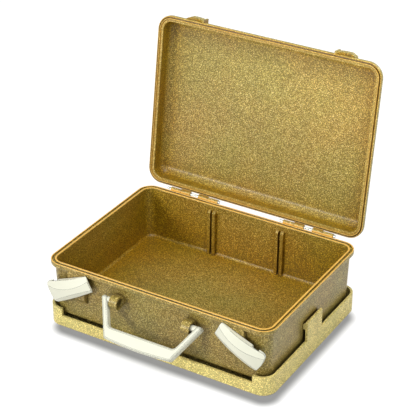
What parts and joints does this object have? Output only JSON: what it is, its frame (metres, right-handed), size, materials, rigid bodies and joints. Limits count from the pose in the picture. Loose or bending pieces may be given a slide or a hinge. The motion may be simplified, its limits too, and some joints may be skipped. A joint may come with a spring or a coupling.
{
  "type": "first aid case",
  "caption": "Moulded hinged-lid first aid case with swing latches, carrying bail and partition guides, standing in a clip-in wall bracket.",
  "frame": {"origin": "centre of the wall bracket's flat underside, where it meets the wall or shelf; also the centre of its four screw holes", "axes": "+X to the right seen from the latch side, +Y to the lid's hinges, +Z out of the bracket towards the lid"},
  "size_m": [0.261, 0.2713, 0.2643],
  "materials": {
    "case": "satin, metallic gold fleck",
    "bracket": "satin",
    "white": "semi-gloss",
    "steel": "bright drawn"
  },
  "bodies": {
    "bracket": {"wall_bracket": "bracket"},
    "case": {"base_shell": "case", "hinge_pin_left": "steel", "hinge_pin_right": "steel"},
    "lid": {"lid_shell": "case"},
    "handle": {"handle": "white"},
    "latch_left": {"latch_left": "white", "latch_retainer_left": "steel"},
    "latch_right": {"latch_right": "white", "latch_retainer_right": "steel"}
  },
  "joints": [
    {"name": "case_lift", "type": "slide", "parent": "bracket", "child": "case", "axis": [0, 0, 1], "range_m": [0, 0.06]},
    {"name": "lid_hinge", "type": "hinge", "parent": "case", "child": "lid", "pos_m": [0, 0.0966, 0.07345], "axis": [1, 0, 0], "range_deg": [0, 99]},
    {"name": "handle_swing", "type": "hinge", "parent": "case", "child": "handle", "pos_m": [0, -0.097, 0.0538], "axis": [-1, 0, 0], "range_deg": [-45, 125]},
    {"name": "latch_left_swing", "type": "hinge", "parent": "case", "child": "latch_left", "pos_m": [-0.09, -0.0944, 0.0553], "axis": [0, 1, 0], "range_deg": [0, 116.4]},
    {"name": "latch_right_swing", "type": "hinge", "parent": "case", "child": "latch_right", "pos_m": [0.09, -0.0944, 0.0553], "axis": [0, -1, 0], "range_deg": [0, 116.4]}
  ]
}
